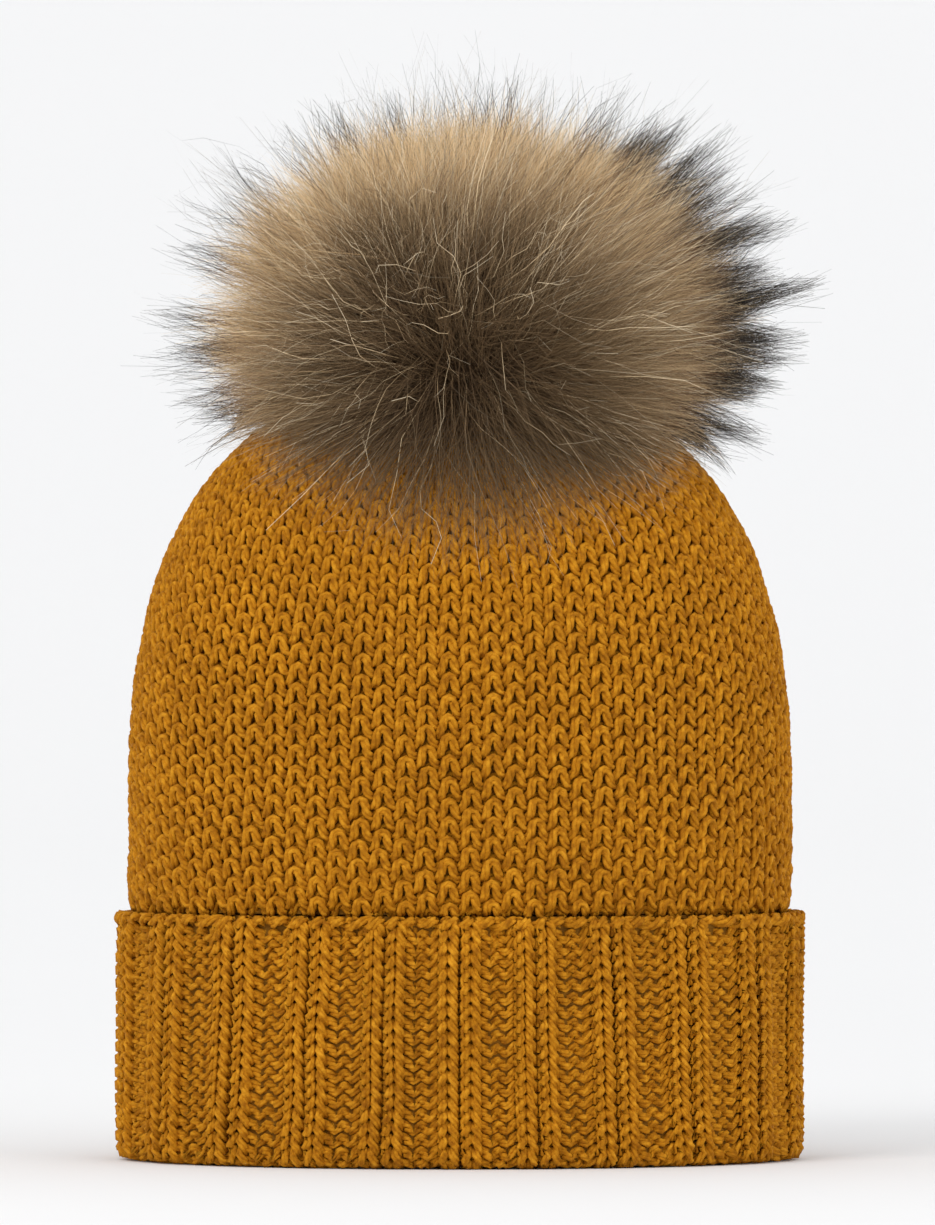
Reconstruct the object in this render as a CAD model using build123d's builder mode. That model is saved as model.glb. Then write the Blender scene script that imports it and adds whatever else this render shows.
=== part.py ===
"""Pom pom beanie: a knitted hat with a turned-up rib cuff and a detachable fur pom pom.

Millimetres, +Z up. The hat stands on its hem fold with its head opening downwards, the front
faces -Y, and the origin is the middle of the hem, on the surface that the hat stands on.
Every knitted layer is an oval: wide from side to side, narrower from front to back.
"""

import os
from math import asin, copysign, cos, degrees, hypot, radians, sin, sqrt

from build123d import *

os.makedirs("parts", exist_ok=True)

# ---- Knitted hat -------------------------------------------------------------------------
DEPTH_RATIO = 0.76  # front-to-back size over side-to-side size of every knitted layer

CUFF_HALF_WIDTH = 110.0
CUFF_HEIGHT = 79.0
CUFF_WALL = 5.2  # the turned-up layer
BAND_WALL = 5.5  # the layer inside it
LAYER_GAP = 0.3  # between touching layers
HEM_RADIUS = (CUFF_WALL + BAND_WALL + LAYER_GAP) / 2
HEM_FLAT_CUT = 0.3  # how far the fold's lowest line is pressed flat

CROWN_HALF_WIDTH = 106.0  # at the fullest height
CROWN_FULL_Z = 110.0
CROWN_TOP_Z = 250.0
CROWN_SIDE_POWER = 2.5  # superellipse powers of the crown's outline
CROWN_RISE_POWER = 2.6
CROWN_WALL = 5.5
CROWN_MOUTH_PHI = 85.4  # where the last stitches end, round the gathering yarn

GATHER_RADIUS = 7.2
GATHER_YARN_RADIUS = 1.7

SEAM_WIDTH_DEG = 3.4
SEAM_THICKNESS = 1.6

LABEL_WIDTH, LABEL_HEIGHT, LABEL_THICKNESS = 24.0, 34.0, 0.6
LABEL_BOTTOM_Z = 36.0
LABEL_WALL_GAP = 1.2
STITCH_LENGTH, STITCH_RADIUS = 2.4, 0.3
LABEL_STITCH_PITCH = 4.0
LABEL_STITCH_COUNT = 6

# ---- Snap fastener -----------------------------------------------------------------------
PATCH_RADIUS, PATCH_THICKNESS = 14.0, 1.4
PATCH_GAP = 3.1  # under the knitting, which leaves room for the crown to tilt
PATCH_STITCH_RADIUS = 11.5
PATCH_STITCH_COUNT = 14
RIVET_RADIUS = 1.4
RIVET_CLEARANCE = 0.12
POST_CAP_RADIUS, POST_CAP_THICKNESS = 5.5, 1.1
STUD_FLANGE_RADIUS, STUD_FLANGE_THICKNESS = 6.0, 1.0
STUD_LIFT = 1.1  # of the flange over the crown
STUD_NECK_RADIUS, STUD_BULB_RADIUS, STUD_HEIGHT = 2.2, 2.7, 4.3
SPRING_RADIUS, SPRING_WIRE_RADIUS, SPRING_ARC_DEG = 3.2, 0.35, 315.0
SOCKET_RADIUS, SOCKET_HEIGHT = 6.5, 4.7
SOCKET_BORE_RADIUS, SOCKET_MOUTH_RADIUS = 3.7, 2.95
SOCKET_LIP, SOCKET_ROOF = 0.3, 1.0
SOCKET_LIFT = 0.4
WASHER_RADIUS, WASHER_THICKNESS = 4.5, 0.9
RIVET_HEAD_RADIUS, RIVET_HEAD_THICKNESS = 2.4, 0.5
EDGE_ROUND = 0.3

# ---- Pom pom -----------------------------------------------------------------------------
DISC_RADIUS, DISC_THICKNESS = 17.0, 1.6
PELT_RADIUS, PELT_WALL = 30.0, 1.3
PELT_LIFT = 0.7  # of the leather over the rivet head
PELT_MOUTH_RADIUS = 10.5
THREAD_RING_RADIUS, THREAD_RADIUS = 8.8, 0.8
STUFFING_GAP = 0.4
FUR_GAP = 0.3
FUR_BORE_RADIUS = 18.5  # round the base disc
FUR_BASE_Z, FUR_RIM_Z = 256.5, 227.0  # the underside, at the bore and at the rim
FUR_RIM_RADIUS = 88.0
UNDERFUR_RIM_RADIUS, UNDERFUR_HALF_WIDTH, UNDERFUR_TOP_Z = 70.0, 78.0, 333.0
GUARD_HALF_WIDTH, GUARD_TOP_Z = 95.0, 346.0


def crown_point(phi, inset=0.0):
    """(half-width, height) on the crown's outline at angle phi, moved in by inset."""
    along, up = cos(radians(phi)), sin(radians(phi))
    side = along ** (2 / CROWN_SIDE_POWER)
    rise = copysign(abs(up) ** (2 / CROWN_RISE_POWER), up)
    span = CROWN_TOP_Z - CROWN_FULL_Z
    normal_r = CROWN_SIDE_POWER * side ** (CROWN_SIDE_POWER - 1) / CROWN_HALF_WIDTH
    normal_z = copysign(CROWN_RISE_POWER * abs(rise) ** (CROWN_RISE_POWER - 1) / span, up)
    size = hypot(normal_r, normal_z)
    radius = CROWN_HALF_WIDTH * side - inset * normal_r / size
    return radius, CROWN_FULL_Z + span * rise - inset * normal_z / size


def crown_phi(height):
    """The outline's angle at a height below the crown's fullest height."""
    share = (CROWN_FULL_Z - height) / (CROWN_TOP_Z - CROWN_FULL_Z)
    return -degrees(asin(share ** (CROWN_RISE_POWER / 2)))


def crown_arcs(stations, inset):
    """Arcs in the current line along the outline, one between each two stations."""
    arcs = []
    for start, end in zip(stations, stations[1:]):
        phis = (start, (start + end) / 2, end)
        arcs.append(ThreePointArc(*[crown_point(phi, inset) for phi in phis]))
    return arcs


def crown_wall(stations, outer_inset, inner_inset):
    """The closed section of a wall that follows the outline between two insets."""
    outer = crown_arcs(stations, outer_inset)
    inner = crown_arcs(stations, inner_inset)
    Line(outer[0] @ 0, inner[0] @ 0)
    Line(outer[-1] @ 1, inner[-1] @ 1)


def widest_edges(piece):
    """The rim edges of a round flat piece."""
    return piece.edges().filter_by(GeomType.CIRCLE).group_by(SortBy.RADIUS)[-1]


def finish(piece, name):
    """Names a finished piece and writes its file."""
    piece.part.label = name
    export_step(piece.part, f"parts/{name}.step")


# ---- Turned-up cuff: outer rib layer, hem fold and bound-off edge ------------------------
hem_centre_z = HEM_RADIUS - HEM_FLAT_CUT
cuff_inner = CUFF_HALF_WIDTH - CUFF_WALL
opening_half_width = CUFF_HALF_WIDTH - 2 * HEM_RADIUS
edge_radius = CUFF_WALL / 2
edge_z = CUFF_HEIGHT - edge_radius

with BuildPart() as turn_up_cuff:
    with BuildSketch(Plane.XZ):
        with BuildLine():
            Line((CUFF_HALF_WIDTH, hem_centre_z), (CUFF_HALF_WIDTH, edge_z))
            ThreePointArc(
                (CUFF_HALF_WIDTH, edge_z),
                (CUFF_HALF_WIDTH - edge_radius, CUFF_HEIGHT),
                (cuff_inner, edge_z),
            )
            Line((cuff_inner, edge_z), (cuff_inner, hem_centre_z))
            Line((cuff_inner, hem_centre_z), (opening_half_width, hem_centre_z))
            ThreePointArc(
                (opening_half_width, hem_centre_z),
                (CUFF_HALF_WIDTH - HEM_RADIUS, hem_centre_z - HEM_RADIUS),
                (CUFF_HALF_WIDTH, hem_centre_z),
            )
        make_face()
    revolve(axis=Axis.Z)
    scale(by=(1, DEPTH_RATIO, 1))
    split(bisect_by=Plane.XY, keep=Keep.TOP)
finish(turn_up_cuff, "turn_up_cuff")

# ---- Inner rib band: the layer that goes down inside the cuff to the hem -----------------
band_outer = cuff_inner - LAYER_GAP
band_bottom_z = hem_centre_z + LAYER_GAP
band_height = CUFF_HEIGHT - band_bottom_z

with BuildPart() as inner_rib_band:
    with BuildSketch(Plane.XY.offset(band_bottom_z)):
        Ellipse(band_outer, band_outer * DEPTH_RATIO)
        Ellipse(opening_half_width, opening_half_width * DEPTH_RATIO, mode=Mode.SUBTRACT)
    extrude(amount=band_height)
finish(inner_rib_band, "inner_rib_band")

# ---- Crown: the moss-stitch dome ---------------------------------------------------------
crown_base_z = CUFF_HEIGHT + LAYER_GAP
crown_stations = [crown_phi(crown_base_z), 0, 12, 32, 58, 75, CROWN_MOUTH_PHI]

with BuildPart() as crown_knit:
    with BuildSketch(Plane.XZ):
        with BuildLine():
            crown_wall(crown_stations, 0.0, CROWN_WALL)
        make_face()
    revolve(axis=Axis.Z)
    scale(by=(1, DEPTH_RATIO, 1))
finish(crown_knit, "crown_knit")

# ---- Back seam: the sewn-together edges, a flat ridge inside the crown -------------------
seam_stations = crown_stations[1:-1]
seam_outer_inset = CROWN_WALL + 2 * LAYER_GAP

with BuildPart() as back_seam:
    with BuildSketch(Plane.YZ.rotated((0, 0, -SEAM_WIDTH_DEG / 2))):
        with BuildLine():
            crown_wall(seam_stations, seam_outer_inset, seam_outer_inset + SEAM_THICKNESS)
        make_face()
    revolve(axis=Axis.Z, revolution_arc=SEAM_WIDTH_DEG)
    scale(by=(1, DEPTH_RATIO, 1))
finish(back_seam, "back_seam")

# ---- Care label: a blank woven tab sewn inside the back of the band ----------------------
label_y = opening_half_width * DEPTH_RATIO - LABEL_WALL_GAP - LABEL_THICKNESS / 2
label_top_z = LABEL_BOTTOM_Z + LABEL_HEIGHT

with BuildPart() as care_label:
    with Locations((0, label_y, LABEL_BOTTOM_Z + LABEL_HEIGHT / 2)):
        Box(LABEL_WIDTH, LABEL_THICKNESS, LABEL_HEIGHT)
    fillet(care_label.edges().filter_by(Axis.Y), LABEL_THICKNESS)
finish(care_label, "care_label")

stitch_y = label_y - LABEL_THICKNESS / 2 - STITCH_RADIUS
first_stitch_x = -LABEL_STITCH_PITCH * (LABEL_STITCH_COUNT - 1) / 2
with BuildPart() as label_stitches:
    for index in range(LABEL_STITCH_COUNT):
        x = first_stitch_x + index * LABEL_STITCH_PITCH
        with Locations(Location((x, stitch_y, label_top_z - 2 * STITCH_LENGTH), (0, 90, 0))):
            Cylinder(STITCH_RADIUS, STITCH_LENGTH)
finish(label_stitches, "label_stitches")

# ---- Gathering yarn: draws the crown's last stitches together ----------------------------
with BuildPart() as crown_gather_yarn:
    with BuildSketch(Plane.XZ):
        with Locations((GATHER_RADIUS, CROWN_TOP_Z - GATHER_YARN_RADIUS - LAYER_GAP)):
            Circle(GATHER_YARN_RADIUS)
    revolve(axis=Axis.Z)
finish(crown_gather_yarn, "crown_gather_yarn")

# ---- Reinforcing patch inside the crown, with its stitches -------------------------------
patch_top_z = CROWN_TOP_Z - CROWN_WALL - PATCH_GAP
patch_bottom_z = patch_top_z - PATCH_THICKNESS
rivet_hole = RIVET_RADIUS + RIVET_CLEARANCE

with BuildPart() as crown_patch:
    with BuildSketch(Plane.XY.offset(patch_bottom_z)):
        Circle(PATCH_RADIUS)
        Circle(rivet_hole, mode=Mode.SUBTRACT)
    extrude(amount=PATCH_THICKNESS)
    fillet(widest_edges(crown_patch), EDGE_ROUND)
finish(crown_patch, "crown_patch")

with BuildPart() as patch_stitches:
    for spot in PolarLocations(PATCH_STITCH_RADIUS, PATCH_STITCH_COUNT).locations:
        level = Location((0, 0, patch_bottom_z - STITCH_RADIUS))
        with Locations(level * spot * Location((0, 0, 0), (90, 0, 0))):
            Cylinder(STITCH_RADIUS, STITCH_LENGTH)
finish(patch_stitches, "patch_stitches")

# ---- Snap post: a rivet that clamps the patch and the stud -------------------------------
stud_base_z = CROWN_TOP_Z + STUD_LIFT
post_top_z = stud_base_z + STUD_FLANGE_THICKNESS + RIVET_RADIUS / 2
post_cap_top_z = patch_bottom_z - RIVET_CLEARANCE
post_cap_bottom_z = post_cap_top_z - POST_CAP_THICKNESS

with BuildPart() as snap_post:
    with BuildSketch(Plane.XY.offset(post_cap_bottom_z)):
        Circle(POST_CAP_RADIUS)
    extrude(amount=POST_CAP_THICKNESS)
    fillet(snap_post.edges().group_by(Axis.Z)[0], EDGE_ROUND)
    with BuildSketch(Plane.XY.offset(post_cap_top_z)):
        Circle(RIVET_RADIUS)
    extrude(amount=post_top_z - post_cap_top_z)
finish(snap_post, "snap_post")

# ---- Snap stud: flange, neck and rounded bulb --------------------------------------------
neck_base_z = stud_base_z + STUD_FLANGE_THICKNESS
stud_top_z = stud_base_z + STUD_HEIGHT
bulb_z = stud_top_z - STUD_BULB_RADIUS / 2
stud_bore_top_z = post_top_z + RIVET_CLEARANCE
bulb_top_radius = STUD_BULB_RADIUS / 2

with BuildPart() as snap_stud:
    with BuildSketch(Plane.XZ):
        with BuildLine():
            Polyline(
                (bulb_top_radius, stud_top_z),
                (0, stud_top_z),
                (0, stud_bore_top_z),
                (rivet_hole, stud_bore_top_z),
                (rivet_hole, stud_base_z),
                (STUD_FLANGE_RADIUS, stud_base_z),
                (STUD_FLANGE_RADIUS, neck_base_z),
                (STUD_NECK_RADIUS, neck_base_z),
            )
            Spline(
                (STUD_NECK_RADIUS, neck_base_z),
                (STUD_BULB_RADIUS, bulb_z),
                (bulb_top_radius, stud_top_z),
                tangents=[(0, 1), (-1, 0)],
            )
        make_face()
    revolve(axis=Axis.Z)
finish(snap_stud, "snap_stud")

# ---- Snap spring: an open wire ring that grips the stud inside the socket ----------------
spring_z = neck_base_z + STUD_NECK_RADIUS / 2
with BuildPart() as snap_ring_spring:
    with BuildSketch(Plane.XZ):
        with Locations((SPRING_RADIUS, spring_z)):
            Circle(SPRING_WIRE_RADIUS)
    revolve(axis=Axis.Z, revolution_arc=SPRING_ARC_DEG)
finish(snap_ring_spring, "snap_ring_spring")

# ---- Snap socket: a cup with a lipped mouth and a rivet through the base disc ------------
socket_base_z = neck_base_z + SOCKET_LIFT
socket_top_z = socket_base_z + SOCKET_HEIGHT
disc_base_z = socket_top_z + RIVET_CLEARANCE
disc_top_z = disc_base_z + DISC_THICKNESS
washer_base_z = disc_top_z + RIVET_CLEARANCE
rivet_head_z = washer_base_z + WASHER_THICKNESS + RIVET_CLEARANCE
rivet_top_z = rivet_head_z + RIVET_HEAD_THICKNESS
cavity_base_z = socket_base_z + SOCKET_LIP
cavity_top_z = socket_top_z - SOCKET_ROOF

with BuildPart() as snap_socket:
    with BuildSketch(Plane.XZ):
        with BuildLine():
            Polyline(
                (0, cavity_top_z),
                (SOCKET_BORE_RADIUS, cavity_top_z),
                (SOCKET_BORE_RADIUS, cavity_base_z),
                (SOCKET_MOUTH_RADIUS, cavity_base_z),
                (SOCKET_MOUTH_RADIUS, socket_base_z),
                (SOCKET_RADIUS, socket_base_z),
                (SOCKET_RADIUS, socket_top_z),
                (RIVET_RADIUS, socket_top_z),
                (RIVET_RADIUS, rivet_head_z),
                (RIVET_HEAD_RADIUS, rivet_head_z),
                (RIVET_HEAD_RADIUS, rivet_top_z),
                (0, rivet_top_z),
                (0, cavity_top_z),
            )
        make_face()
    revolve(axis=Axis.Z)
finish(snap_socket, "snap_socket")

# ---- Base disc of the pom pom and the washer on its rivet --------------------------------
with BuildPart() as pom_base_disc:
    with BuildSketch(Plane.XY.offset(disc_base_z)):
        Circle(DISC_RADIUS)
        Circle(rivet_hole, mode=Mode.SUBTRACT)
    extrude(amount=DISC_THICKNESS)
    fillet(widest_edges(pom_base_disc), EDGE_ROUND)
finish(pom_base_disc, "pom_base_disc")

with BuildPart() as socket_washer:
    with BuildSketch(Plane.XY.offset(washer_base_z)):
        Circle(WASHER_RADIUS)
        Circle(rivet_hole, mode=Mode.SUBTRACT)
    extrude(amount=WASHER_THICKNESS)
    fillet(widest_edges(socket_washer), EDGE_ROUND)
finish(socket_washer, "socket_washer")

# ---- Pelt: the leather ball that the hair grows from, open where it is gathered ----------
ball_z = rivet_top_z + PELT_LIFT + PELT_RADIUS


def ball_drop(ball_radius, at_radius):
    """Height of a ball's underside at a distance from the axis."""
    return ball_z - sqrt(ball_radius**2 - at_radius**2)


pelt_inner_radius = PELT_RADIUS - PELT_WALL
with BuildPart() as pom_pelt:
    with BuildSketch(Plane.XZ):
        with BuildLine():
            outer = ThreePointArc(
                (PELT_MOUTH_RADIUS, ball_drop(PELT_RADIUS, PELT_MOUTH_RADIUS)),
                (PELT_RADIUS, ball_z),
                (0, ball_z + PELT_RADIUS),
            )
            inner = ThreePointArc(
                (PELT_MOUTH_RADIUS, ball_drop(pelt_inner_radius, PELT_MOUTH_RADIUS)),
                (pelt_inner_radius, ball_z),
                (0, ball_z + pelt_inner_radius),
            )
            Line(outer @ 0, inner @ 0)
            Line(outer @ 1, inner @ 1)
        make_face()
    revolve(axis=Axis.Z)
finish(pom_pelt, "pom_pelt")

# ---- Stuffing inside the pelt, and the thread that gathers the pelt's edge ---------------
stuffing_radius = pelt_inner_radius - STUFFING_GAP
with BuildPart() as pom_stuffing:
    with Locations((0, 0, ball_z)):
        Sphere(stuffing_radius)
finish(pom_stuffing, "pom_stuffing")

thread_z = ball_drop(PELT_RADIUS, THREAD_RING_RADIUS)
with BuildPart() as pom_gather_thread:
    with BuildSketch(Plane.XZ):
        with Locations((THREAD_RING_RADIUS, thread_z)):
            Circle(THREAD_RADIUS)
    revolve(axis=Axis.Z)
finish(pom_gather_thread, "pom_gather_thread")

# ---- Fur: dense underfur round the pelt, and the guard hair outside it -------------------
# Both share one underside, part of a ball whose centre is far below, clear of the crown.
underside_fall = FUR_BASE_Z - FUR_RIM_Z
underside_run = FUR_RIM_RADIUS**2 - FUR_BORE_RADIUS**2
underside_rise = (underside_run + underside_fall**2) / (2 * underside_fall)
underside_centre_z = FUR_BASE_Z - underside_rise
underside_radius = hypot(FUR_BORE_RADIUS, underside_rise)


def underside_z(at_radius):
    return underside_centre_z + sqrt(underside_radius**2 - at_radius**2)


def fur_dome(rim_radius, half_width, top_z, grow=0.0):
    """The outer line of a fur layer in the current sketch, from its rim to its top.

    It is fullest a little below half its height and rounds over to a flat top.
    """
    rim_z = underside_z(rim_radius + grow)
    height = top_z - rim_z
    return Spline(
        (rim_radius + grow, rim_z),
        (half_width + grow, rim_z + 0.42 * height),
        (0.80 * half_width + grow, rim_z + 0.80 * height + grow),
        (0.42 * half_width, rim_z + 0.965 * height + grow),
        (0, top_z + grow),
        tangents=[(0.4, 1.0), (-1, 0)],
    )


def fur_underside(from_radius, to_radius):
    """The shared underside in the current sketch, between two distances from the axis."""
    middle = (from_radius + to_radius) / 2
    return ThreePointArc(
        (from_radius, underside_z(from_radius)),
        (middle, underside_z(middle)),
        (to_radius, underside_z(to_radius)),
    )


fur_inner_radius = PELT_RADIUS + FUR_GAP
bore_top_z = ball_drop(fur_inner_radius, FUR_BORE_RADIUS)
with BuildPart() as pom_underfur:
    with BuildSketch(Plane.XZ):
        with BuildLine():
            dome = fur_dome(UNDERFUR_RIM_RADIUS, UNDERFUR_HALF_WIDTH, UNDERFUR_TOP_Z)
            fur_underside(FUR_BORE_RADIUS, UNDERFUR_RIM_RADIUS)
            Line((FUR_BORE_RADIUS, FUR_BASE_Z), (FUR_BORE_RADIUS, bore_top_z))
            skin = ThreePointArc(
                (FUR_BORE_RADIUS, bore_top_z),
                (fur_inner_radius, ball_z),
                (0, ball_z + fur_inner_radius),
            )
            Line(skin @ 1, dome @ 1)
        make_face()
    revolve(axis=Axis.Z)
finish(pom_underfur, "pom_underfur")

with BuildPart() as pom_guard_hair:
    with BuildSketch(Plane.XZ):
        with BuildLine():
            outer = fur_dome(FUR_RIM_RADIUS, GUARD_HALF_WIDTH, GUARD_TOP_Z)
            inner = fur_dome(UNDERFUR_RIM_RADIUS, UNDERFUR_HALF_WIDTH, UNDERFUR_TOP_Z, FUR_GAP)
            fur_underside(UNDERFUR_RIM_RADIUS + FUR_GAP, FUR_RIM_RADIUS)
            Line(inner @ 1, outer @ 1)
        make_face()
    revolve(axis=Axis.Z)
finish(pom_guard_hair, "pom_guard_hair")
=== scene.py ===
"""Looks of the pom pom beanie: plied yarn knitted loop by loop, long fur and the snap fastener.

Metres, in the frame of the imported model: +Z up, the front faces -Y, standing on the hem.
"""

import math

import bpy
import numpy as np
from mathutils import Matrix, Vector


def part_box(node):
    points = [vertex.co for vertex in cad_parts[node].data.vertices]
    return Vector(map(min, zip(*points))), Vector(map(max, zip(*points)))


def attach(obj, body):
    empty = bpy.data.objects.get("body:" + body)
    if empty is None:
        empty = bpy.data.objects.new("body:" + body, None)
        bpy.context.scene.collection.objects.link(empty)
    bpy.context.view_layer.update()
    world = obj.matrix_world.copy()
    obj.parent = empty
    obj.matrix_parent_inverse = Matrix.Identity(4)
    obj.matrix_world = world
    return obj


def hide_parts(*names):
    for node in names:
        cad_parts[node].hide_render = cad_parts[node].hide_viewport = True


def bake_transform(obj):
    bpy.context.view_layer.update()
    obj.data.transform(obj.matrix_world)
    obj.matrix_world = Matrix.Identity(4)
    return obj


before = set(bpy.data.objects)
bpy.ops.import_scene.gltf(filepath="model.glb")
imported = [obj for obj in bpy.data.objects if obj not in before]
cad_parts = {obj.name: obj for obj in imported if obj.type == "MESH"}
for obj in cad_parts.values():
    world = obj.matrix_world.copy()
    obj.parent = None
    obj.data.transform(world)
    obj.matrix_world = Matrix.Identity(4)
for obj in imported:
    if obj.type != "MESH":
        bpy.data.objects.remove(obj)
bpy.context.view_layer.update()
TAU = 2 * math.pi
MM = 0.001


# ---- Camera, light and world -------------------------------------------------------------
VIEW_HEIGHT = 0.3918  # of the picture, at the middle of the hat
VIEW_CENTRE = (0.0024, 0.1744)  # x and z that the camera looks at
CAMERA_DISTANCE = 4.0
SENSOR = 36.0


def add_camera():
    data = bpy.data.cameras.new("camera")
    data.sensor_fit = "VERTICAL"
    data.sensor_height = SENSOR
    data.lens = SENSOR * CAMERA_DISTANCE / VIEW_HEIGHT
    camera = bpy.data.objects.new("camera", data)
    camera.location = (VIEW_CENTRE[0], -CAMERA_DISTANCE, VIEW_CENTRE[1])
    camera.rotation_euler = (math.pi / 2, 0, 0)
    bpy.context.collection.objects.link(camera)
    bpy.context.scene.camera = camera


def add_area_light(name, place, target, size, power):
    data = bpy.data.lights.new(name, "AREA")
    data.size = size
    data.energy = power
    light = bpy.data.objects.new(name, data)
    light.location = place
    light.rotation_euler = (Vector(target) - Vector(place)).to_track_quat("-Z", "Y").to_euler()
    bpy.context.collection.objects.link(light)


def add_world(strength):
    world = bpy.data.worlds.new("studio")
    world.use_nodes = True
    background = world.node_tree.nodes["Background"]
    background.inputs["Color"].default_value = (0.968, 0.972, 0.982, 1)
    background.inputs["Strength"].default_value = strength
    bpy.context.scene.world = world


add_camera()


# ---- Mesh helpers ------------------------------------------------------------------------
MAX_QUADS = 95000  # quads of one piece at most; of one piece, so that no exported mesh has to be thinned


def make_mesh(name, points, quads, uvs=None):
    """A smooth mesh object from point and quad arrays, with UVs for each quad's corners."""
    mesh = bpy.data.meshes.new(name)
    points = np.asarray(points, np.float32).reshape(-1, 3)
    quads = np.asarray(quads, np.int32).reshape(-1, 4)
    mesh.vertices.add(len(points))
    mesh.vertices.foreach_set("co", points.ravel())
    mesh.loops.add(quads.size)
    mesh.loops.foreach_set("vertex_index", quads.ravel())
    mesh.polygons.add(len(quads))
    mesh.polygons.foreach_set("loop_start", np.arange(0, quads.size, 4, dtype=np.int32))
    mesh.polygons.foreach_set("use_smooth", np.full(len(quads), True))
    if uvs is not None:
        layer = mesh.uv_layers.new(name="OFBake")
        layer.uv.foreach_set("vector", np.asarray(uvs, np.float32).ravel())
    mesh.update(calc_edges=True)
    thing = bpy.data.objects.new(name, mesh)
    bpy.context.collection.objects.link(thing)
    return thing


def unit(vectors):
    return vectors / np.maximum(np.linalg.norm(vectors, axis=-1, keepdims=True), 1e-12)


def ring_grid(around_count, ring_count):
    """The quads that join closed rings of points, each ring around_count long, and their cells."""
    i, j = np.meshgrid(np.arange(around_count), np.arange(ring_count - 1))
    a, b = (j * around_count + i).ravel(), (j * around_count + (i + 1) % around_count).ravel()
    return np.stack([a, b, b + around_count, a + around_count], axis=1), i.ravel(), j.ravel()


# ---- Shape of the knitted layers ---------------------------------------------------------
cuff_low, cuff_high = (np.array(corner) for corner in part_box("turn_up_cuff"))
band_low, band_high = (np.array(corner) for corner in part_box("inner_rib_band"))
crown_low, crown_high = (np.array(corner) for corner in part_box("crown_knit"))
DEPTH_RATIO = cuff_high[1] / cuff_high[0]
WALL = 5.2 * MM  # of one knitted layer
CUFF_MIDDLE = cuff_high[0] - WALL / 2
BAND_MIDDLE = band_high[0] - WALL / 2
HEM_TURN = (CUFF_MIDDLE - BAND_MIDDLE) / 2
HEM_Z = WALL / 2 + HEM_TURN - 1.2 * MM  # the fold is pressed flat by the weight of the hat
CUFF_TOP = cuff_high[2]
CROWN_FULL_Z = 110 * MM
CROWN_TOP_Z = crown_high[2]
CROWN_HALF_WIDTH = 106 * MM
CROWN_SIDE_POWER, CROWN_RISE_POWER = 2.5, 2.6
SIDE_SPREAD = 0.55  # stitches are this much wider in angle at the sides than in front


def crown_outline(inset, base_z, count=400):
    """Half-widths and heights along the crown, from base_z to the gathered top."""
    low = -math.asin(((CROWN_FULL_Z - base_z) / (CROWN_TOP_Z - CROWN_FULL_Z)) ** (CROWN_RISE_POWER / 2))
    phi = np.linspace(low, math.radians(87), count)
    up = np.sin(phi)
    side = np.cos(phi) ** (2 / CROWN_SIDE_POWER)
    rise = np.sign(up) * np.abs(up) ** (2 / CROWN_RISE_POWER)
    span = CROWN_TOP_Z - CROWN_FULL_Z
    nr = CROWN_SIDE_POWER * side ** (CROWN_SIDE_POWER - 1) / CROWN_HALF_WIDTH
    nz = np.sign(up) * CROWN_RISE_POWER * np.abs(rise) ** (CROWN_RISE_POWER - 1) / span
    size = np.hypot(nr, nz)
    return CROWN_HALF_WIDTH * side - inset * nr / size, CROWN_FULL_Z + span * rise - inset * nz / size


def rib_outline(count=60):
    """The rib fabric's middle line: down the cuff, round the hem fold and up inside."""
    turn = np.linspace(0, math.pi, count)
    r = np.concatenate([[CUFF_MIDDLE], (CUFF_MIDDLE + BAND_MIDDLE) / 2 + HEM_TURN * np.cos(turn), [BAND_MIDDLE]])
    z = np.concatenate([[CUFF_TOP - WALL / 4], HEM_Z - HEM_TURN * np.sin(turn), [CUFF_TOP]])
    return r, z


class Outline:
    """A half-width and height for each distance along a line, and the way out of the fabric."""

    def __init__(self, r, z, outward):
        step = np.hypot(np.diff(r), np.diff(z))
        self.s = np.concatenate([[0], np.cumsum(step)])
        self.r, self.z, self.length, self.outward = r, z, self.s[-1], outward

    def at(self, s):
        s = np.asarray(s)
        r, z = np.interp(s, self.s, self.r), np.interp(s, self.s, self.z)
        past = s - np.clip(s, 0, self.length)
        ahead, behind = np.clip(s + 0.4 * MM, 0, self.length), np.clip(s - 0.4 * MM, 0, self.length)
        dr = np.interp(ahead, self.s, self.r) - np.interp(behind, self.s, self.r)
        dz = np.interp(ahead, self.s, self.z) - np.interp(behind, self.s, self.z)
        size = np.maximum(np.hypot(dr, dz), 1e-9)
        dr, dz = dr / size, dz / size
        return r + past * dr, z + past * dz, self.outward * dz, -self.outward * dr


def around(share):
    """Angle round the oval for a share of the stitches, 0 at the front; wider at the sides."""
    t = np.linspace(-math.pi, 3 * math.pi, 4001)
    grown = np.concatenate([[0], np.cumsum(0.5 * np.diff(t) * (
        1 / (1 + SIDE_SPREAD * np.sin(t[1:]) ** 2) + 1 / (1 + SIDE_SPREAD * np.sin(t[:-1]) ** 2)))])
    grown = 2 * grown / grown[-1] - 0.5
    return np.interp(share, grown, t)


def on_fabric(outline, share, s, w, lean=0.0):
    """Points and normals of the fabric at a share round it, a distance along, and a height out."""
    t = around(share)
    if lean:
        t = t + lean * (s / outline.length - 0.5) * np.sin(2 * t)
    r, z, nr, nz = outline.at(s)
    front, side = -np.cos(t), np.sin(t)
    points = np.stack([r * side, DEPTH_RATIO * r * front, z], axis=-1)
    normals = unit(np.stack([DEPTH_RATIO * side * nr, front * nr, nz * np.ones_like(t)], axis=-1))
    return points + normals * w[..., None], normals


# ---- Knitting ----------------------------------------------------------------------------
KNIT, PURL = 0, 1
PLIES = 3
PLY_RADIUS = 0.275  # of a ply and of its distance from the yarn's middle, in yarn diameters
PLY_OFFSET = 0.22
PLY_PATTERN = 1.4  # turns of a ply that the material's pattern is spread over
TWIST_PITCH = 14 * MM
LOOP_POINTS = 10
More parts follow.
